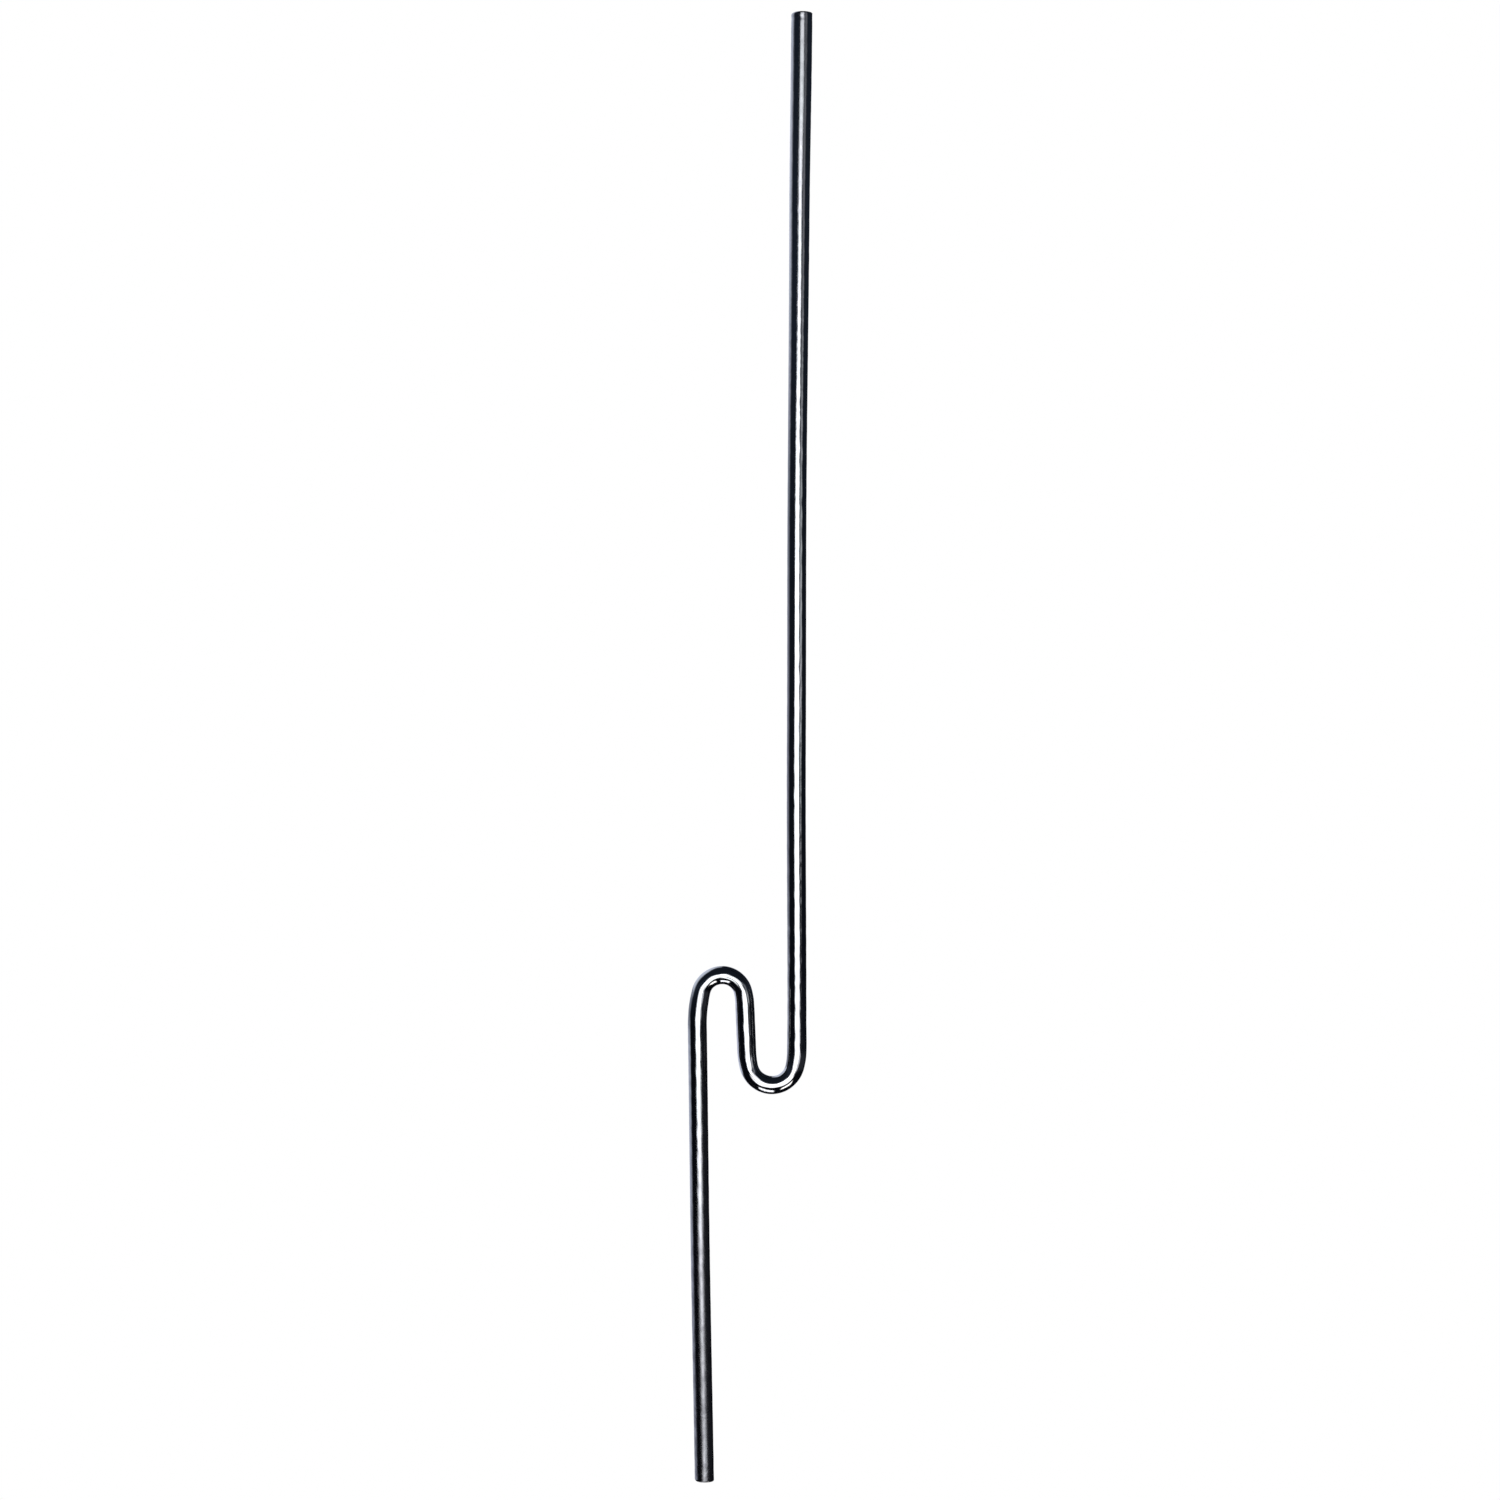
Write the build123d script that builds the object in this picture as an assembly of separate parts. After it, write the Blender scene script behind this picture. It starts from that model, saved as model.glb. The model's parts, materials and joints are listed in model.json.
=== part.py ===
from build123d import *
import os

# A wire tent stake: one round steel rod, cold bent in one plane. From the bottom up it is a straight
# lower leg, a hook that opens downwards, a short middle leg, a hook that opens upwards, and a long upper
# leg. Millimetres and degrees. +Z is up, X runs across the two hooks, Y is the direction that the hooks'
# bending pins point in, and the rod's centreline lies in the XZ plane. The origin is the centre of the
# lower leg's cut end.

# Driving dimensions
ROD_DIAMETER = 4.0
OVERALL_HEIGHT = 305.0  # from the centre of the lower cut end up to the centre of the upper one
LOWER_LEG_LENGTH = 94.4  # straight stretch, from the lower cut end to the first bend
LOWER_LEG_LEAN = 0.9  # how far the lower leg tips over from upright, towards -X
MIDDLE_LEG_LENGTH = 9.6  # straight stretch between the two hooks
END_EDGE_RADIUS = 0.35  # break on the rim of each cut end

# Each hook is three tangent arcs, as (radius of the rod's centreline, turn), in order from the lower leg
# to the upper one. The rod eases into the hook, wraps around the bending pin, and eases out again.
DOWNWARD_HOOK = ((30.0, 14.0), (4.6, 154.0), (15.5, 10.4))
UPWARD_HOOK = ((16.0, 12.0), (4.7, 151.0), (14.0, 14.2))

TO_THE_RIGHT = -1  # the sense of a turn, seen with +X to the right and +Z up
TO_THE_LEFT = 1
UPRIGHT = 90.0  # the angle of +Z from +X


def draw_hook(leg, arcs, sense):
    """Draw one hook onto the end of a straight leg, and return its last arc."""
    stretch = leg
    for radius, turn in arcs:
        stretch = JernArc(stretch @ 1, stretch % 1, radius, sense * turn)
    return stretch


def draw_centreline():
    """Draw the rod's centreline, from the centre of the lower cut end to the centre of the upper one."""
    with BuildLine(Plane.XZ) as centreline:
        lower_leg = PolarLine((0, 0), LOWER_LEG_LENGTH, UPRIGHT + LOWER_LEG_LEAN)
        downward_hook = draw_hook(lower_leg, DOWNWARD_HOOK, TO_THE_RIGHT)
        middle_leg = PolarLine(downward_hook @ 1, MIDDLE_LEG_LENGTH, direction=downward_hook % 1)
        upward_hook = draw_hook(middle_leg, UPWARD_HOOK, TO_THE_LEFT)
        height_left = OVERALL_HEIGHT - (upward_hook @ 1).Z
        upper_leg_length = height_left / (upward_hook % 1).Z
        PolarLine(upward_hook @ 1, upper_leg_length, direction=upward_hook % 1)
    return centreline.wire()


def make_stake_rod():
    """Sweep the round section along the centreline, then break the rims of the two square cut ends."""
    centreline = draw_centreline()
    section = Plane(origin=centreline @ 0, z_dir=centreline % 0) * Circle(ROD_DIAMETER / 2)
    rod = sweep(section, path=centreline)
    cut_ends = rod.faces().filter_by(GeomType.PLANE)
    return fillet(cut_ends.edges(), END_EDGE_RADIUS)


os.makedirs("parts", exist_ok=True)
export_step(make_stake_rod(), "parts/stake_rod.step")
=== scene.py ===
import json
import math

import bpy
import numpy as np
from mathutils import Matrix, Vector


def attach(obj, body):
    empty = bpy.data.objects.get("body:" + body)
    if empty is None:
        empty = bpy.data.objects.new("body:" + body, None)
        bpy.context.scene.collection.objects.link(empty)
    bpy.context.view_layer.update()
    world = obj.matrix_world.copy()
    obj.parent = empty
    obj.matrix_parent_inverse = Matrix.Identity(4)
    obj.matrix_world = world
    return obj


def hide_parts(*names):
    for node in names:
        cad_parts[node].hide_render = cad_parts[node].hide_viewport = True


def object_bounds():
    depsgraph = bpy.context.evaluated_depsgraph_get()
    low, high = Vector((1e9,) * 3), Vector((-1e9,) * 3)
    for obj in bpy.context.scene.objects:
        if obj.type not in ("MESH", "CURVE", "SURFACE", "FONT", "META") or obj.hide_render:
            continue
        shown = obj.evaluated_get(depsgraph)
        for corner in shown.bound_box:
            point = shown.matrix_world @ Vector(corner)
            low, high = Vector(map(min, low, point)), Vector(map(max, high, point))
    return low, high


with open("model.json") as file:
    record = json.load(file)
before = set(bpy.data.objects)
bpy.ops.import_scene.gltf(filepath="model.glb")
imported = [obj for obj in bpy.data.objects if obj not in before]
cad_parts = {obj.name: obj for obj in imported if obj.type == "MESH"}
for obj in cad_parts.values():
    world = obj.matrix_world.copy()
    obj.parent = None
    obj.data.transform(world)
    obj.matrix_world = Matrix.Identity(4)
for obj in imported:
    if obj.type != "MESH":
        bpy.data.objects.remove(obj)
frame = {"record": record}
cad_low, cad_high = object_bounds()

# A tent stake: one round steel rod, cold bent in one plane, in a soft white studio. Lengths are in metres
# and angles in radians, unless a comment says otherwise. X runs across the stake's two hooks, Y is square
# to the plane that the rod is bent in, and Z is up. The camera looks along +Y.
MM = 0.001
FULL_TURN = 2.0 * math.pi

MOUNTS = {mount["name"]: mount for mount in frame["record"]["mounts"]}
NOTES = frame["record"]["mount_notes"]
ROD_RADIUS = MOUNTS["lower_leg"]["dims"]["r_mm"] * MM
CIRCUMFERENCE = FULL_TURN * ROD_RADIUS

# How finely the rod is meshed
SIDES = 80
LEG_STEP = 0.6 * MM
BEND_STEP = math.radians(3.0)
FACE_RINGS = 9
RIM_RINGS = 7

# What bending did to the round section: the rod is pinched across each tight bend, spreads a little along
# Y, and swells where the upper leg leaves its hook.
BEND_PINCH = 0.05
BEND_SPREAD = 0.02
BEND_BLEND = 1.6 * MM
BEND_SAMPLES = 9
HOOK_SWELL = 0.035
HOOK_SWELL_LENGTH = 4.0 * MM

# The rod is a touch thicker towards its upper end
UPPER_END_SPREAD = 0.11
UPPER_END_LENGTH = 100.0 * MM

# The legs aren't quite straight: (share of the leg, sideways offset towards +X)
LOWER_LEG_WANDER = (
    (0.0, 0.09 * MM),
    (0.5, -0.02 * MM),
    (1.0, 0.1 * MM),
)
UPPER_LEG_WANDER = (
    (0.0, 0.2 * MM),
    (0.3, -0.22 * MM),
    (0.52, -0.35 * MM),
    (0.8, -0.17 * MM),
    (1.0, 0.11 * MM),
)

# Shallow waves that the drawing die left around and along the rod
WAVE_COUNT = 36
WAVE_SLOPE = 0.003
WAVE_LENGTHS = (1.8 * MM, 7.0 * MM)
WAVE_LOBES = (2, 12)
WAVE_SEED = 5

# The sheared ends: the rim's radius changes around the rod, and the face is torn into ripples. Each cut has
# the side where its rim is largest, and the seed of its ripples.
RIM_RADIUS = NOTES["lower_tip"]["rim_radius_mm"] * MM
RIM_VARIATION = 0.55
WALL_MARGIN = 2.0 * RIM_RADIUS  # from a cut to the side wall's nearest ring
FACE_ROUGHNESS = 0.035 * MM
RIPPLE_COUNT = 18
RIPPLE_LENGTHS = (0.35, 1.6)  # millimetres
RIPPLE_SUM = 4.0  # roughly what the ripples add up to
RIPPLE_FADE = 4  # powers of the distance out, with which the ripples and the face's colour fade
COLOUR_FADE = 8
LOWER_CUT = (math.pi, 11)
UPPER_CUT = (0.9 * math.pi, 12)

# The blades also squeezed a shallow groove around the rod, just below its upper end. It is deepest on one
# side: the depth has an even share, and a share that comes and goes around the rod.
GROOVE_DEPTH = 0.022
GROOVE_PLACE = 1.3 * MM
GROOVE_WIDTH = 0.5 * MM
GROOVE_SIDE = 1.1 * math.pi
GROOVE_EVEN_SHARE = 0.6
GROOVE_SIDED_SHARE = 0.4
GROOVE_REACH = 3.0 * MM
GROOVE_STEP = 0.15 * MM

# The UV layer lays the rod out in rows, with its two cut ends as discs in a strip above them. Its seam runs
# along the back.
UV_ROWS = 5
UV_GAP = 0.45 * MM
UV_DISC = 1.15 * ROD_RADIUS + UV_GAP
SEAM_SIDE = 0.5 * math.pi


def ease(share):
    """A smooth step from 0 to 1."""
    share = np.clip(share, 0.0, 1.0)
    return share * share * (3.0 - 2.0 * share)


def eased_line(points, at):
    """A smooth curve through a few (place, value) points, flat at each of them."""
    places, values = np.array(points).T
    total = np.full(np.shape(at), values[0])
    for left, right, step in zip(places, places[1:], np.diff(values)):
        total = total + step * ease((at - left) / (right - left))
    return total


def bump_at(distance, width):
    """A smooth bump: 1 at no distance, and nearly 0 beyond twice the width."""
    return np.exp(-((distance / width) ** 2))


# --------------------------------------------------------------------------------------------------------
# The rod's centreline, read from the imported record
# --------------------------------------------------------------------------------------------------------


def leg_stretch(name, key):
    """One straight stretch as (length, turn)."""
    return [(NOTES[name][key] * MM, 0.0)]


def hook_stretches(name, sense):
    """One hook's arcs as (length, turn). A turn towards +X is positive."""
    stretches = []
    for arc in NOTES[name]["centreline_arcs"]:
        turn = math.radians(arc["turn_deg"])
        stretches.append((arc["radius_mm"] * MM * turn, sense * turn))
    return stretches


class Centreline:
    """Straight and arc stretches end to end in the XZ plane, from the lower cut end to the upper one."""

    def __init__(self):
        lower_leg = leg_stretch("lower_leg", "leg_length_mm")
        downward_hook = hook_stretches("downward_hook", 1.0)
        middle_leg = leg_stretch("upward_hook", "straight_before_mm")
        upward_hook = hook_stretches("upward_hook", -1.0)
        upper_leg = leg_stretch("upper_leg", "leg_length_mm")
        stretches = lower_leg + downward_hook + middle_leg + upward_hook + upper_leg
        self.lengths, turns = np.array(stretches).T
        self.curvatures = turns / self.lengths
        self.starts = np.concatenate([[0.0], np.cumsum(self.lengths)])
        self.length = self.starts[-1]
        self.lower_leg_end = self.starts[1]
        self.upper_leg_start = self.starts[-2]

        outward_x, _, outward_z = MOUNTS["lower_tip"]["axis"]
        first_heading = math.atan2(-outward_x, -outward_z)
        self.headings = first_heading + np.concatenate([[0.0], np.cumsum(turns)])
        steps_x, steps_z, _ = self._travel(np.arange(len(self.lengths)), self.lengths)
        first_x, _, first_z = MOUNTS["lower_tip"]["pos_m"]
        self.corners_x = first_x + np.concatenate([[0.0], np.cumsum(steps_x)])
        self.corners_z = first_z + np.concatenate([[0.0], np.cumsum(steps_z)])

    def _travel(self, stretch, distance):
        """How far a distance along a stretch leads along X and Z, and the heading there."""
        heading = self.headings[stretch]
        curvature = self.curvatures[stretch]
        turned = heading + curvature * distance
        straight = curvature == 0.0
        safe = np.where(straight, 1.0, curvature)
        arc_x = (np.cos(heading) - np.cos(turned)) / safe
        arc_z = (np.sin(turned) - np.sin(heading)) / safe
        along_x = np.where(straight, distance * np.sin(heading), arc_x)
        along_z = np.where(straight, distance * np.cos(heading), arc_z)
        return along_x, along_z, turned

    def stretch_at(self, s):
        """Which stretch each distance along the rod is in."""
        return np.clip(np.searchsorted(self.starts, s, side="right") - 1, 0, len(self.lengths) - 1)

    def curvature(self, s):
        """The centreline's curvature, 0 beyond the cut ends."""
        return np.where((s < 0) | (s > self.length), 0.0, self.curvatures[self.stretch_at(s)])

    def at(self, s):
        """X, Z and heading at each distance along the rod. A heading is clockwise from +Z, towards +X."""
        stretch = self.stretch_at(s)
        along_x, along_z, heading = self._travel(stretch, s - self.starts[stretch])
        return self.corners_x[stretch] + along_x, self.corners_z[stretch] + along_z, heading

    def bend_share(self, s):
        """How bent the rod is nearby: 1 inside a tight bend, 0 on a leg, and smooth in between."""
        tightest = np.abs(self.curvatures).max()
        nearby = np.linspace(-BEND_BLEND, BEND_BLEND, BEND_SAMPLES)
        return sum(np.abs(self.curvature(s + offset)) for offset in nearby) / (BEND_SAMPLES * tightest)

    def wander(self, s):
        """How far the legs stray sideways from the design's straight lines."""
        lower = eased_line(LOWER_LEG_WANDER, s / self.lower_leg_end)
        past_hooks = s - self.upper_leg_start
        upper = eased_line(UPPER_LEG_WANDER, past_hooks / (self.length - self.upper_leg_start))
        through_hooks = (s - self.lower_leg_end) / (self.upper_leg_start - self.lower_leg_end)
        return lower + (upper - lower) * ease(through_hooks)

    def ring_places(self, first, last):
        """Where the side wall's rings go: close together in the hooks and at the groove."""
        places = []
        for start, length, curvature in zip(self.starts, self.lengths, self.curvatures):
            step = LEG_STEP
            if curvature != 0.0:
                step = min(LEG_STEP, BEND_STEP / abs(curvature))
            count = math.ceil(length / step)
            places.extend(start + length * np.arange(count) / count)
        places = np.array(places)
        grooved = self.length - GROOVE_REACH
        places = np.concatenate([places[places < grooved], np.arange(grooved, last, GROOVE_STEP)])
        inner = places[(places > first + LEG_STEP / 2) & (places < last - GROOVE_STEP / 2)]
        return np.concatenate([[first], inner, [last]])


# --------------------------------------------------------------------------------------------------------
# The rod's surface
# --------------------------------------------------------------------------------------------------------


def die_waves(around, s):
    """Height of the shallow waves left by drawing, seamless around the rod."""
    random = np.random.default_rng(WAVE_SEED)
    height = np.zeros(np.shape(s))
    for _ in range(WAVE_COUNT):
        lobes = random.integers(*WAVE_LOBES)
        wavelength = random.uniform(*WAVE_LENGTHS)
        phase = random.uniform(0.0, FULL_TURN)
        amplitude = WAVE_SLOPE * ROD_RADIUS / lobes
        height += amplitude * np.sin(lobes * around + FULL_TURN * s / wavelength + phase)
    return height


def face_relief(across_x, across_y, seed):
    """Height of the torn part of a sheared face, from a few random ripples."""
    random = np.random.default_rng(seed)
    height = np.zeros(np.shape(across_x))
    for _ in range(RIPPLE_COUNT):
        direction = random.uniform(0.0, FULL_TURN)
        wavelength = random.uniform(*RIPPLE_LENGTHS)
        phase = random.uniform(0.0, FULL_TURN)
        along = across_x * math.cos(direction) + across_y * math.sin(direction)
        height += wavelength * np.sin(FULL_TURN * along / (wavelength * MM) + phase)
    return height * FACE_ROUGHNESS / RIPPLE_SUM


def cut_end_rings(around, worn_side, seed):
    """The rings of a cut end, from its middle out: their depth, radius, distance out and share cut."""
    rim = RIM_RADIUS * (1.0 + RIM_VARIATION * np.cos(around - worn_side))
    depths, radii, reaches, cuts = [], [], [], []
    for ring in range(1, FACE_RINGS + 1):
        share = ring / FACE_RINGS
        radius = (ROD_RADIUS - rim) * share
        relief = face_relief(radius * np.cos(around), radius * np.sin(around), seed)
        depths.append(relief * (1.0 - share ** RIPPLE_FADE))
        radii.append(radius)
        reaches.append(radius)
        cuts.append(np.full(np.shape(around), 1.0 - share ** COLOUR_FADE))
    for ring in range(1, RIM_RINGS + 1):
        angle = 0.5 * math.pi * ring / RIM_RINGS
        depths.append(rim * (1.0 - math.cos(angle)))
        radii.append(ROD_RADIUS - rim + rim * math.sin(angle))
        reaches.append(ROD_RADIUS - rim + rim * angle)
        cuts.append(np.zeros(np.shape(around)))
    return np.array(depths), np.array(radii), np.array(reaches), np.array(cuts)


def section_scale(line, s, around):
    """How much larger the section is than a plain round one: the end's spread, the groove and the waves."""
    from_top = line.length - s
    spread = UPPER_END_SPREAD * ease(1.0 - from_top / UPPER_END_LENGTH)
    groove = GROOVE_DEPTH * bump_at(from_top - GROOVE_PLACE, GROOVE_WIDTH)
    groove = groove * (GROOVE_EVEN_SHARE + GROOVE_SIDED_SHARE * np.cos(around - GROOVE_SIDE))
    return 1.0 + spread - groove + die_waves(around, s) / ROD_RADIUS


def bent_surface(line, s, radius, around):
    """Where the rod's surface is, from each point's place along the rod, its radius and angle around it."""
    bend = line.bend_share(s)
    swell = HOOK_SWELL * bump_at(s - line.upper_leg_start, HOOK_SWELL_LENGTH)
    scale = section_scale(line, s, around)
    across_plane = radius * np.cos(around) * (1.0 - BEND_PINCH * bend + swell) * scale + line.wander(s)
    out_of_plane = radius * np.sin(around) * (1.0 + BEND_SPREAD * bend) * scale
    x, z, heading = line.at(s)
    across_x = x + across_plane * np.cos(heading)
    across_z = z - across_plane * np.sin(heading)
    return np.stack([across_x, out_of_plane, across_z], axis=-1)


def ring_faces(rings):
    """Quads between neighbouring rings, then a fan of triangles to the middle of each cut end."""
    side = np.arange(SIDES)
    after = (side + 1) % SIDES
    ring = SIDES * np.arange(rings - 1)[:, None]
    next_ring = ring + SIDES
    quads = np.stack([ring + side, ring + after, next_ring + after, next_ring + side], axis=-1)
    last_ring = SIDES * (rings - 1)
    low_middle = np.full(SIDES, SIDES * rings)
    high_middle = low_middle + 1
    low_fan = np.stack([low_middle, after, side], axis=-1)
    high_fan = np.stack([high_middle, last_ring + side, last_ring + after], axis=-1)
    return quads.reshape(-1, 4).tolist() + low_fan.tolist() + high_fan.tolist()


def lay_out_wall(quads, s, row, row_start):
    """UVs for the side wall's quads: along the rod within its row, and around the rod."""
    row_base = UV_GAP + row * (CIRCUMFERENCE + UV_GAP)
    arc = CIRCUMFERENCE * np.arange(SIDES + 1) / SIDES
    quads[:, :, :2, 0] = (UV_GAP + s[:-1] - row_start)[:, None, None]
    quads[:, :, 2:, 0] = (UV_GAP + s[1:] - row_start)[:, None, None]
    quads[:, :, (0, 3), 1] = (row_base[:, None] + arc[:-1])[:, :, None]
    quads[:, :, (1, 2), 1] = (row_base[:, None] + arc[1:])[:, :, None]


def lay_out_disc(quads, reaches, middle, sense):
    """UVs for a cut end's quads, as a disc around a middle. Returns the disc's rings."""
    angle = sense * FULL_TURN * np.arange(SIDES + 1) / SIDES
    closed = np.concatenate([reaches, reaches[:, :1]], axis=1)
    rings = np.stack([middle[0] + closed * np.cos(angle), middle[1] + closed * np.sin(angle)], axis=-1)
    quads[:, :, 0] = rings[:-1, :-1]
    quads[:, :, 1] = rings[:-1, 1:]
    quads[:, :, 2] = rings[1:, 1:]
    quads[:, :, 3] = rings[1:, :-1]
    return rings


def lay_out(s, low_reach, high_reach):
    """UVs for every corner, in the order of ring_faces. The rod's scale is the same all over."""
    rings = len(s)
    wall_first = len(low_reach) - 1
    wall_last = rings - len(high_reach)
    s = s[wall_first:wall_last + 1].mean(axis=1)
    row_length = (s[-1] - s[0]) / UV_ROWS
    breaks = np.searchsorted(s, s[0] + row_length * np.arange(1, UV_ROWS))
    row = np.searchsorted(breaks, np.arange(len(s) - 1), side="right")
    row_start = s[np.concatenate([[0], breaks])][row]
    longest = (s[1:] - row_start).max()

    quads = np.zeros((rings - 1, SIDES, 4, 2))
    lay_out_wall(quads[wall_first:wall_last], s, row, row_start)
    discs_up = UV_GAP + UV_ROWS * (CIRCUMFERENCE + UV_GAP) + UV_DISC
    low_middle = np.array((UV_DISC, discs_up))
    high_middle = np.array((3.0 * UV_DISC, discs_up))
    low_ring = lay_out_disc(quads[:wall_first], low_reach, low_middle, -1.0)[0]
    high_ring = lay_out_disc(quads[wall_last:], high_reach[::-1], high_middle, 1.0)[-1]
    low_fan = np.stack([np.tile(low_middle, (SIDES, 1)), low_ring[1:], low_ring[:-1]], axis=1)
    high_fan = np.stack([np.tile(high_middle, (SIDES, 1)), high_ring[:-1], high_ring[1:]], axis=1)
    corners = np.concatenate([quads.reshape(-1, 2), low_fan.reshape(-1, 2), high_fan.reshape(-1, 2)])
    return corners / (longest + 2.0 * UV_GAP)


def add_attribute(mesh, name, kind, values):
    """Store one value or vector for each vertex, for the material to read."""
    attribute = mesh.attributes.new(name, kind, "POINT")
    key = "vector" if kind == "FLOAT_VECTOR" else "value"
    attribute.data.foreach_set(key, np.asarray(values, np.float32).ravel())


def make_rod(line):
    """The bent rod as one closed mesh: a cut end, the side wall, and the other cut end."""
    turn = FULL_TURN * np.arange(SIDES) / SIDES + SEAM_SIDE
    low_depth, low_radius, low_reach, low_cut = cut_end_rings(turn, *LOWER_CUT)
    high_depth, high_radius, high_reach, high_cut = cut_end_rings(turn, *UPPER_CUT)
    wall = line.ring_places(WALL_MARGIN, line.length - WALL_MARGIN)
    wall = np.repeat(wall[:, None], SIDES, axis=1)
    s = np.concatenate([low_depth, wall, line.length - high_depth[::-1]])
    radius = np.concatenate([low_radius, np.full(wall.shape, ROD_RADIUS), high_radius[::-1]])
    cut = np.concatenate([low_cut, np.zeros(wall.shape), high_cut[::-1]])
    around = np.repeat(turn[None, :], len(s), axis=0)

    bent = bent_surface(line, s, radius, around)
    unbent = np.stack([radius * np.cos(around), radius * np.sin(around), s], axis=-1)
    bent_middles = bent[[0, -1]].mean(axis=1)
    unbent_middles = unbent[[0, -1]].mean(axis=1)

    mesh = bpy.data.meshes.new("bent_steel_rod")
    faces = ring_faces(len(s))
    mesh.from_pydata(np.concatenate([bent.reshape(-1, 3), bent_middles]).tolist(), [], faces)
    mesh.polygons.foreach_set("use_smooth", np.ones(len(faces), bool))
    add_attribute(mesh, "unbent", "FLOAT_VECTOR", np.concatenate([unbent.reshape(-1, 3), unbent_middles]))
    add_attribute(mesh, "cut", "FLOAT", np.concatenate([cut.ravel(), [1.0, 1.0]]))
    layer = mesh.uv_layers.new(name="OFBake")
    layer.data.foreach_set("uv", lay_out(s, low_reach, high_reach).ravel())
    mesh.update()
    rod = bpy.data.objects.new("bent_steel_rod", mesh)
    bpy.context.scene.collection.objects.link(rod)
    return rod


# --------------------------------------------------------------------------------------------------------
# Materials
# --------------------------------------------------------------------------------------------------------

WHITE = (1.0, 1.0, 1.0, 1.0)

# Noise in the steel: features to a millimetre across the rod and along it, detail and roughness
FINE_LINES = (6.0, 0.05, 3.0, 0.6)
BROAD_LINES = (1.6, 0.02, 2.0, 0.5)
MOTTLE = (0.9, 0.45, 3.0, 0.55)
PATCHES = (0.35, 0.06, 3.0, 0.5)
GRAIN = (1.2, 0.7, 2.0, 0.5)
DENTS = (0.9, 1.3, 1.0, 0.5)

# The range of each noise over which its look changes from one extreme to the other
STAIN_RANGE = (0.35, 0.7)
PATCH_RANGE = (0.35, 0.65)
LINE_RANGE = (0.62, 0.75)
POLISH_RANGE = (0.3, 0.7)

# Colours of the steel: two kinds of clean patch, the darker fine lines, the dull film and the cut faces
CLEAN_STEEL = (0.66, 0.66, 0.69, 1.0)
OTHER_STEEL = (0.60, 0.63, 0.64, 1.0)
LINE_STEEL = (0.42, 0.42, 0.45, 1.0)
LINE_SHARE = 0.25
DULL_STEEL = (0.205, 0.206, 0.224, 1.0)
CUT_STEEL = (0.50, 0.49, 0.48, 1.0)

# The dull film, in millimetres: it is full up to one height at the lower end and gone by another, and it
# fades in again towards the upper end, where it is weaker. Part of it is even, and part is mottled.
LOW_FILM_FULL = 20.0
LOW_FILM_GONE = 110.0
HIGH_FILM_LENGTH = 75.0
HIGH_FILM_SHARE = 0.5
EVEN_FILM = 0.65
MOTTLED_FILM = 0.3

# Roughness of the polished steel between and on its fine lines, and what the film and the cut add to it
POLISH = (0.05, 0.10)
FILM_ROUGHNESS = 0.24
CUT_ROUGHNESS = 0.3

# The bump's height, and each noise's share in it
BUMP_HEIGHT = 0.03 * MM
FINE_LINES_HEIGHT = 0.2
BROAD_LINES_HEIGHT = 0.5
GRAIN_HEIGHT = 0.45
DENTS_HEIGHT = 2.2

# Scuffs on the lower leg, in millimetres: distance from its cut end, and half length
SCUFFS = ((14.5, 1.6), (2.5, 1.6))
SCUFF_EDGE = 1.0


class Nodes:
    """Short ways to add and wire the nodes of one tree."""

    def __init__(self, tree):
        self.tree = tree
        tree.nodes.clear()

    def add(self, kind, inputs=None, **settings):
        node = self.tree.nodes.new(kind)
        for key, value in settings.items():
            setattr(node, key, value)
        for socket, value in (inputs or {}).items():
            self.feed(node.inputs[socket], value)
        return node

    def feed(self, socket, value):
        """Wire an output to an input, or give it a fixed value."""
        if isinstance(value, bpy.types.NodeSocket):
            self.tree.links.new(value, socket)
        else:
            socket.default_value = value

    def math(self, operation, first, second=0.0):
        return self.add("ShaderNodeMath", {0: first, 1: second}, operation=operation).outputs[0]

    def plus(self, first, second):
        return self.math("ADD", first, second)

    def minus(self, first, second):
        return self.math("SUBTRACT", first, second)

    def times(self, first, second):
        return self.math("MULTIPLY", first, second)

    def scaled(self, vector, factors):
        return self.add("ShaderNodeVectorMath", {0: vector, 1: factors}, operation="MULTIPLY").outputs[0]

    def split(self, vector):
        return self.add("ShaderNodeSeparateXYZ", {"Vector": vector}).outputs

    def noise(self, place, across, along, detail, roughness):
        stretched = self.scaled(place, (across, across, along))
        inputs = {"Vector": stretched, "Scale": 1.0, "Detail": detail, "Roughness": roughness}
        return self.add("ShaderNodeTexNoise", inputs).outputs[0]

    def span(self, value, low, high, to_low=0.0, to_high=1.0):
        """A smooth step from one value at a low limit to another at a high limit."""
        inputs = {"Value": value, "From Min": low, "From Max": high, "To Min": to_low, "To Max": to_high}
        return self.add("ShaderNodeMapRange", inputs, interpolation_type="SMOOTHSTEP").outputs[0]

    def window(self, value, low, high, edge):
        """1 between two limits and 0 outside them, with soft edges."""
        rise = self.span(value, low - edge, low + edge)
        fall = self.span(value, high - edge, high + edge, 1.0, 0.0)
        return self.times(rise, fall)

    def mix_colour(self, share, first, second):
        node = self.add("ShaderNodeMix", data_type="RGBA")
        sockets = {socket.identifier: socket for socket in node.inputs}
        self.feed(sockets["Factor_Float"], share)
        self.feed(sockets["A_Color"], first)
        self.feed(sockets["B_Color"], second)
        return next(socket for socket in node.outputs if socket.identifier == "Result_Color")

    def mix_shader(self, share, first, second):
        inputs = {0: share, 1: first.outputs[0], 2: second.outputs[0]}
        return self.add("ShaderNodeMixShader", inputs).outputs[0]


def new_material(name):
    """A new material, and its nodes."""
    material = bpy.data.materials.new(name)
    material.use_nodes = True
    return material, Nodes(material.node_tree)


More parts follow.
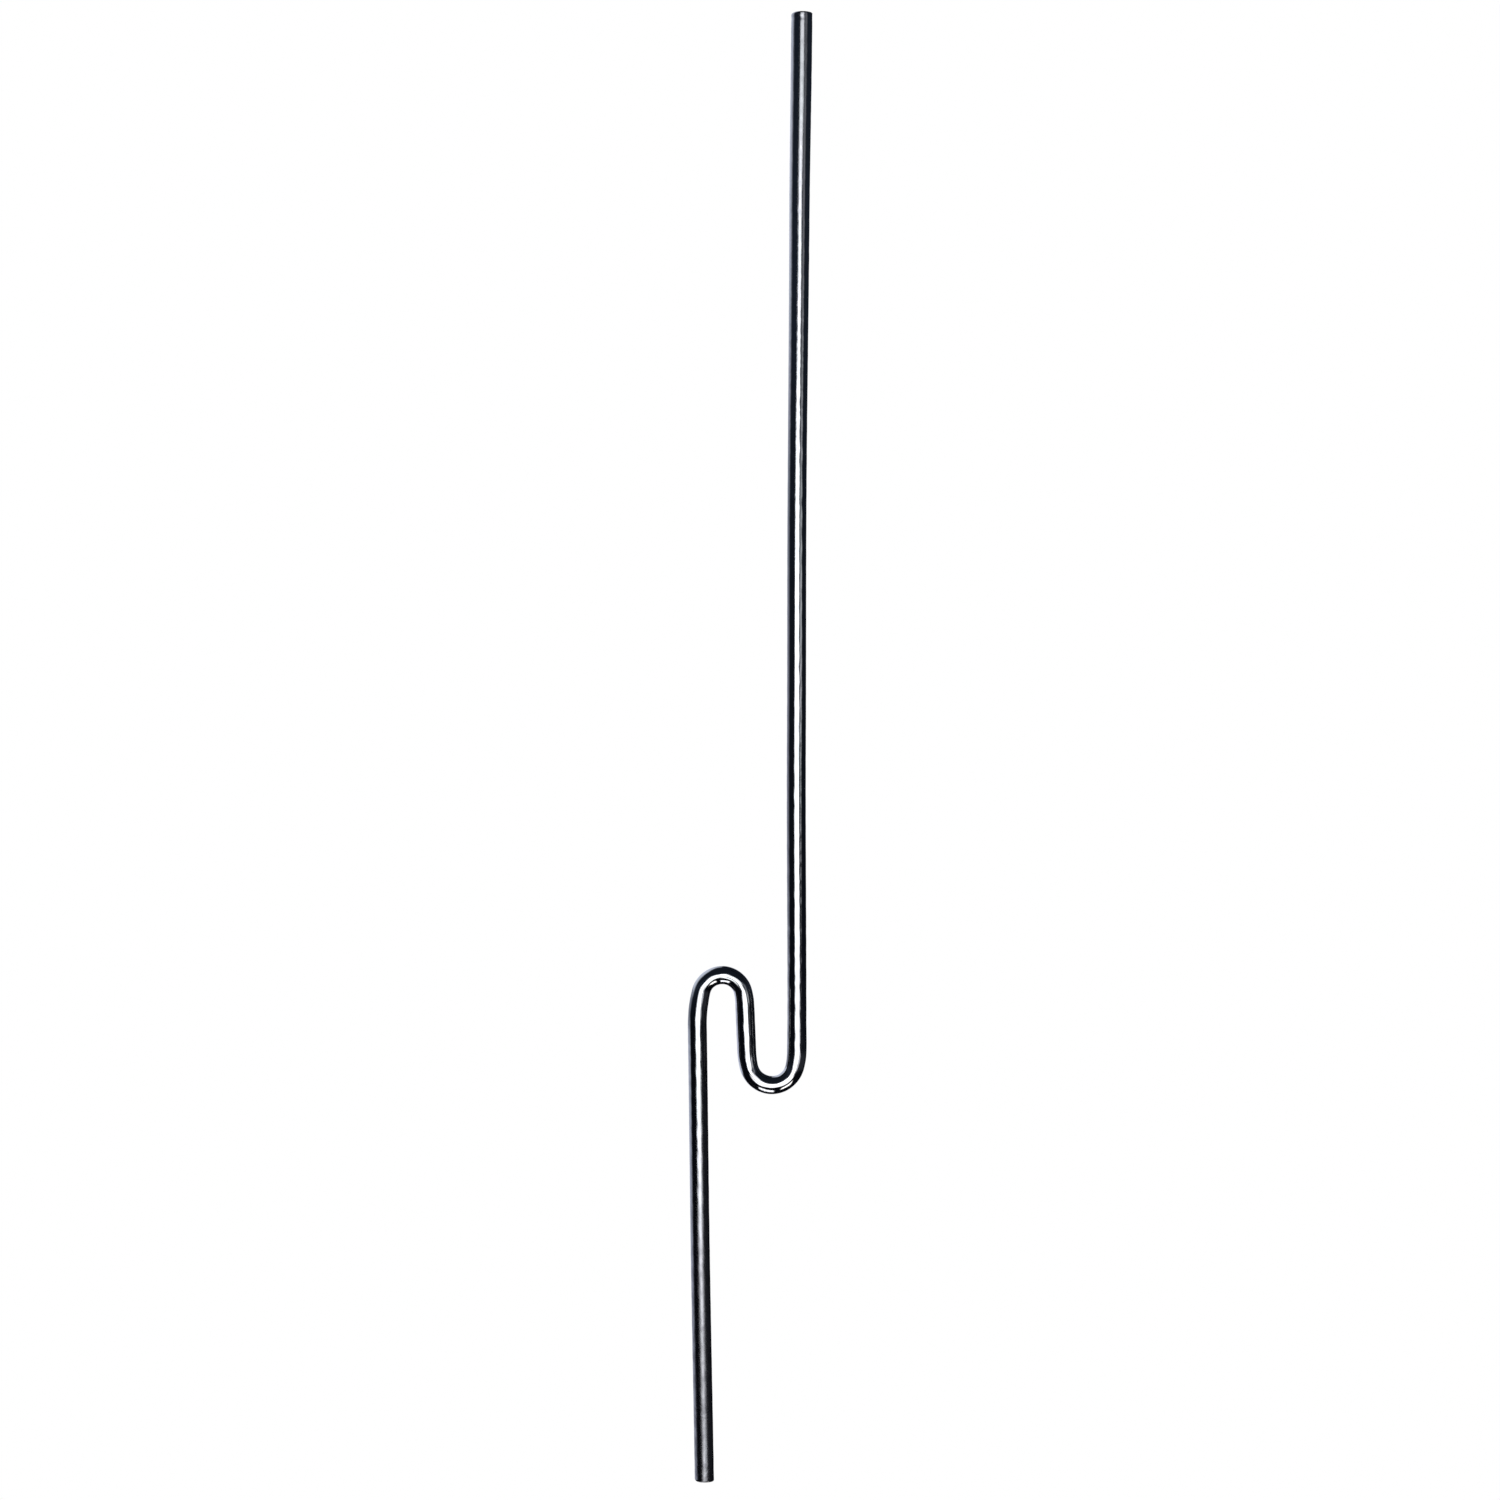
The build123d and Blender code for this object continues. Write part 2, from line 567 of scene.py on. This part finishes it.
def steel_film(nodes, place, along, length):
    """How much dull film covers the steel: most near the lower end, less near the upper one."""
    low_end = nodes.span(along, LOW_FILM_FULL, LOW_FILM_GONE, 1.0, 0.0)
    high_end = nodes.span(along, length - HIGH_FILM_LENGTH, length)
    dullness = nodes.math("MAXIMUM", low_end, nodes.times(high_end, HIGH_FILM_SHARE))
    stain = nodes.span(nodes.noise(place, *MOTTLE), *STAIN_RANGE)
    return nodes.times(dullness, nodes.plus(EVEN_FILM, nodes.times(stain, MOTTLED_FILM)))


def steel_height(nodes, place, along, fine_lines):
    """Height of the steel's fine relief: lines along the rod, grain, and the dents of the scuffs."""
    lines_and_grain = nodes.plus(
        nodes.times(fine_lines, FINE_LINES_HEIGHT),
        nodes.times(nodes.noise(place, *GRAIN), GRAIN_HEIGHT),
    )
    broad = nodes.times(nodes.noise(place, *BROAD_LINES), BROAD_LINES_HEIGHT)
    height = nodes.plus(lines_and_grain, broad)
    dents = nodes.noise(place, *DENTS)
    for middle, half_length in SCUFFS:
        nearby = nodes.window(along, middle - half_length, middle + half_length, SCUFF_EDGE)
        height = nodes.plus(height, nodes.times(dents, nodes.times(nearby, DENTS_HEIGHT)))
    return height


def drawn_steel(line):
    """Bright cold-drawn steel: fine lines along the rod, mottled and duller towards both cut ends."""
    material, nodes = new_material("drawn_steel")
    unbent = nodes.add("ShaderNodeAttribute", attribute_name="unbent").outputs["Vector"]
    cut = nodes.add("ShaderNodeAttribute", attribute_name="cut").outputs["Fac"]
    place = nodes.scaled(unbent, (1.0 / MM, 1.0 / MM, 1.0 / MM))
    along = nodes.split(place)["Z"]
    film = steel_film(nodes, place, along, line.length / MM)

    fine_lines = nodes.noise(place, *FINE_LINES)
    patches = nodes.span(nodes.noise(place, *PATCHES), *PATCH_RANGE)
    clean = nodes.mix_colour(patches, CLEAN_STEEL, OTHER_STEEL)
    on_line = nodes.span(fine_lines, *LINE_RANGE, 0.0, LINE_SHARE)
    lined = nodes.mix_colour(on_line, clean, LINE_STEEL)
    dulled = nodes.mix_colour(film, lined, DULL_STEEL)
    colour = nodes.mix_colour(cut, dulled, CUT_STEEL)

    polish = nodes.span(fine_lines, *POLISH_RANGE, *POLISH)
    filmed = nodes.plus(polish, nodes.times(film, FILM_ROUGHNESS))
    roughness = nodes.plus(filmed, nodes.times(cut, CUT_ROUGHNESS))
    height = steel_height(nodes, place, along, fine_lines)
    bump = nodes.add("ShaderNodeBump", {"Strength": 1.0, "Distance": BUMP_HEIGHT, "Height": height})

    shader = nodes.add("ShaderNodeBsdfPrincipled", {
        "Base Color": colour,
        "Metallic": 1.0,
        "Roughness": roughness,
        "Normal": bump.outputs["Normal"],
    })
    nodes.add("ShaderNodeOutputMaterial", {"Surface": shader.outputs["BSDF"]})
    return material


def plain_white():
    """An evenly lit white, which merges into the backdrop, and is clear from its underside."""
    material, nodes = new_material("pale_floor")
    from_below = nodes.add("ShaderNodeNewGeometry").outputs["Backfacing"]
    white = nodes.add("ShaderNodeEmission", {"Color": WHITE, "Strength": 1.0})
    clear = nodes.add("ShaderNodeBsdfTransparent")
    nodes.add("ShaderNodeOutputMaterial", {"Surface": nodes.mix_shader(from_below, white, clear)})
    return material


# --------------------------------------------------------------------------------------------------------
# Studio
# --------------------------------------------------------------------------------------------------------

FLOOR_HALF = 3.0
FLOOR_GAP = 0.1 * MM

# The frame is a little taller than the rod, and its middle is just below and to the right of the rod's
CAMERA_DISTANCE = 650.0 * MM
FRAME_MARGIN = 1.022
FRAME_HEIGHT = (cad_high.z - cad_low.z) * FRAME_MARGIN
FRAME_DROP = 0.63 * MM
FRAME_SHIFT = 0.2 * MM
SENSOR = 36.0  # millimetres
NEAREST_SEEN = 0.01

LENS_LIGHT_SIZE = 0.2
LENS_LIGHT_POWER = 0.1

# The light around the rod, which only its reflections show. It turns and tilts with the lens, so that a
# leg has the same highlight from every side. Azimuth 0 is at the lens, and the right of the view is
# positive. Elevation 0 is where an upright leg sends the lens's line of sight, and up is positive. Angles
# are in degrees, and colours are radiances.
SHADE_BELOW = (0.003, 0.0036, 0.006, 1.0)
SHADE_ABOVE = (0.009, 0.012, 0.0185, 1.0)
SHADE_BLEND = 8.0

# Keys: middle and half width of azimuth, middle and half height of elevation, radiance
KEYS = (
    (3.5, 25.5, -1.0, 9.5, (2.1, 2.13, 2.18)),
    (8.0, 20.0, 13.0, 6.0, (1.35, 1.36, 1.4)),
    (20.0, 23.0, -9.5, 6.5, (0.85, 0.85, 0.88)),
    (3.0, 25.0, -23.0, 9.0, (1.9, 1.9, 1.9)),
    (180.0, 20.0, 2.0, 22.0, (0.9, 0.9, 0.95)),
)
GLOW_EDGE = 0.3

# Cards: left, right and edge of azimuth, bottom, top and edge of elevation, radiance
CARDS = (
    (36.0, 58.0, 6.0, 0.0, 20.0, 3.0, (0.18, 0.18, 0.19)),
    (43.0, 62.0, 5.0, -0.5, 4.5, 4.0, (0.47, 0.48, 0.49)),
    (25.0, 120.0, 10.0, -22.0, -7.0, 4.0, (0.022, 0.023, 0.027)),
    (-175.0, -107.0, 20.0, -24.0, 60.0, 12.0, (0.28, 0.29, 0.35)),
    (-175.0, -98.0, 18.0, 8.0, 60.0, 3.5, (0.45, 0.47, 0.53)),
    (-175.0, -93.0, 11.0, -24.0, -5.5, 2.5, (0.38, 0.405, 0.48)),
    (-179.0, 179.0, 1.0, 8.0, 24.0, 5.0, (0.007, 0.010, 0.016)),
)

# Bright panes under the rod, with a dark bar between them, which shine in the two hooks: left and right as
# X of a ray's direction, near and far as its Y, their soft edge, and radiance. They fade out between two
# values of its Z, and between two values of the Z that the lens looks along.
PANES_BELOW = (
    (-0.38, 0.06, -0.43, 0.11, 0.03, (2.0, 2.0, 2.05)),
    (0.27, 0.60, -0.52, -0.17, 0.03, (2.3, 2.2, 2.1)),
)
PANE_DEPTHS = (-0.42, -0.52)
PANE_STEEPNESS = (0.3, 0.8)

# Soft light from overhead, which only shows when the lens looks down at the rod
OVERHEAD = (0.5, 0.52, 0.56)
OVERHEAD_FROM = 90.0
OVERHEAD_FULL = 112.0

# How much of the studio a ray still finds after it has bounced between two stretches of the rod. Cycles
# counts the studio as a step too, so such a ray gets there at depth 3 or more.
SECOND_GLANCE = 0.06
SECOND_GLANCE_DEPTH = 2.5


def make_floor():
    """A plain white floor just under the rod."""
    top = cad_low.z - FLOOR_GAP
    corners = [(FLOOR_HALF * x, FLOOR_HALF * y, top) for x, y in ((-1, -1), (1, -1), (1, 1), (-1, 1))]
    floor_mesh = bpy.data.meshes.new("floor")
    floor_mesh.from_pydata(corners, [], [(0, 1, 2, 3)])
    floor = bpy.data.objects.new("floor", floor_mesh)
    floor.data.materials.append(plain_white())
    floor.visible_glossy = False
    bpy.context.scene.collection.objects.link(floor)


def glow(nodes, across, up, half_width, half_height):
    """A soft-edged oval, 1 in its middle, at an offset from its centre across and up."""
    across = nodes.math("DIVIDE", across, half_width)
    up = nodes.math("DIVIDE", up, half_height)
    squares = nodes.plus(nodes.times(across, across), nodes.times(up, up))
    return nodes.span(nodes.math("SQRT", squares), 1.0 - GLOW_EDGE, 1.0 + GLOW_EDGE, 1.0, 0.0)


def lens_direction(nodes):
    """The direction that the lens looks along, as X, Y and Z. It is +Z in a shader's camera space."""
    inwards = nodes.add(
        "ShaderNodeVectorTransform",
        {"Vector": (0.0, 0.0, 1.0)},
        vector_type="VECTOR",
        convert_from="CAMERA",
        convert_to="WORLD",
    )
    return nodes.split(inwards.outputs[0])


def ray_direction(nodes, yaw):
    """A ray's direction as X, Y and Z, turned around Z as if the lens looked along +Y."""
    incoming = nodes.add("ShaderNodeNewGeometry").outputs["Incoming"]
    direction = nodes.scaled(incoming, (-1.0, -1.0, -1.0))
    inputs = {"Vector": direction, "Angle": yaw}
    turned = nodes.add("ShaderNodeVectorRotate", inputs, rotation_type="Z_AXIS")
    return nodes.split(turned.outputs[0])


def studio_lights(nodes):
    """Every light of the studio as (share, radiance), and the elevation that the lights are placed by."""
    lens_x, lens_y, lens_z = lens_direction(nodes)
    x, y, z = ray_direction(nodes, nodes.math("ARCTAN2", lens_x, lens_y))
    to_degrees = math.degrees(1.0)
    azimuth = nodes.times(nodes.math("ARCTAN2", x, nodes.times(y, -1.0)), to_degrees)
    tilt = nodes.math("ARCSINE", lens_z)
    elevation = nodes.times(nodes.minus(nodes.math("ARCSINE", z), tilt), to_degrees)

    lights = []
    for middle, half_width, rise, half_height, radiance in KEYS:
        across = nodes.math("PINGPONG", nodes.minus(azimuth, middle), 180.0)
        up = nodes.minus(elevation, rise)
        lights.append((glow(nodes, across, up, half_width, half_height), radiance))
    for left, right, edge, low, high, edge_up, radiance in CARDS:
        across = nodes.window(azimuth, left, right, edge)
        up = nodes.window(elevation, low, high, edge_up)
        lights.append((nodes.times(across, up), radiance))
    level_lens = nodes.span(nodes.math("ABSOLUTE", lens_z), *PANE_STEEPNESS, 1.0, 0.0)
    panes = nodes.times(nodes.span(z, *PANE_DEPTHS), level_lens)
    for left, right, near, far, edge, radiance in PANES_BELOW:
        pane = nodes.times(nodes.window(x, left, right, edge), nodes.window(y, near, far, edge))
        lights.append((nodes.times(pane, panes), radiance))
    lights.append((nodes.span(elevation, OVERHEAD_FROM, OVERHEAD_FULL), OVERHEAD))
    return lights, elevation


def make_world():
    """A soft studio around the rod, seen only in its reflections. The camera sees plain white."""
    world = bpy.data.worlds.new("studio")
    world.use_nodes = True
    bpy.context.scene.world = world
    nodes = Nodes(world.node_tree)
    lights, elevation = studio_lights(nodes)
    total = nodes.mix_colour(nodes.span(elevation, -SHADE_BLEND, SHADE_BLEND), SHADE_BELOW, SHADE_ABOVE)
    for share, radiance in lights:
        tint = nodes.mix_colour(share, (0.0, 0.0, 0.0, 1.0), (*radiance, 1.0))
        total = nodes.add("ShaderNodeVectorMath", {0: total, 1: tint}, operation="ADD").outputs[0]

    path = nodes.add("ShaderNodeLightPath").outputs
    second_glance = nodes.math("GREATER_THAN", path["Ray Depth"], SECOND_GLANCE_DEPTH)
    strength = nodes.span(second_glance, 0.0, 1.0, 1.0, SECOND_GLANCE)
    studio = nodes.add("ShaderNodeBackground", {"Color": total, "Strength": strength})
    backdrop = nodes.add("ShaderNodeBackground", {"Color": WHITE, "Strength": 1.0})
    seen = nodes.mix_shader(path["Is Camera Ray"], studio, backdrop)
    nodes.add("ShaderNodeOutputWorld", {"Surface": seen})


def make_camera():
    """The camera: level with the rod's middle, square to the plane that it is bent in."""
    centre = (cad_low + cad_high) / 2.0
    data = bpy.data.cameras.new("camera")
    data.sensor_width = SENSOR
    data.lens = SENSOR * CAMERA_DISTANCE / FRAME_HEIGHT
    data.clip_start = NEAREST_SEEN
    camera = bpy.data.objects.new("camera", data)
    bpy.context.scene.collection.objects.link(camera)
    aim = Vector((centre.x + FRAME_SHIFT, 0.0, centre.z - FRAME_DROP))
    camera.location = aim + Vector((0.0, -CAMERA_DISTANCE, 0.0))
    camera.rotation_mode = "QUATERNION"
    camera.rotation_quaternion = (aim - camera.location).to_track_quat("-Z", "Y")
    bpy.context.scene.camera = camera
    return camera


def make_lens_light(camera):
    """A soft disc around the lens, in the middle of the front key."""
    data = bpy.data.lights.new("lens_light", "AREA")
    data.shape = "DISK"
    data.size = LENS_LIGHT_SIZE
    data.energy = LENS_LIGHT_POWER
    light = bpy.data.objects.new("lens_light", data)
    light.visible_camera = False
    bpy.context.scene.collection.objects.link(light)
    light.location = camera.location
    light.rotation_mode = "QUATERNION"
    light.rotation_quaternion = camera.rotation_quaternion


line = Centreline()
rod = make_rod(line)
rod.data.materials.append(drawn_steel(line))
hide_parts("stake_rod")
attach(rod, "root")

make_floor()
make_world()
make_lens_light(make_camera())
bpy.context.scene.view_settings.view_transform = "Standard"
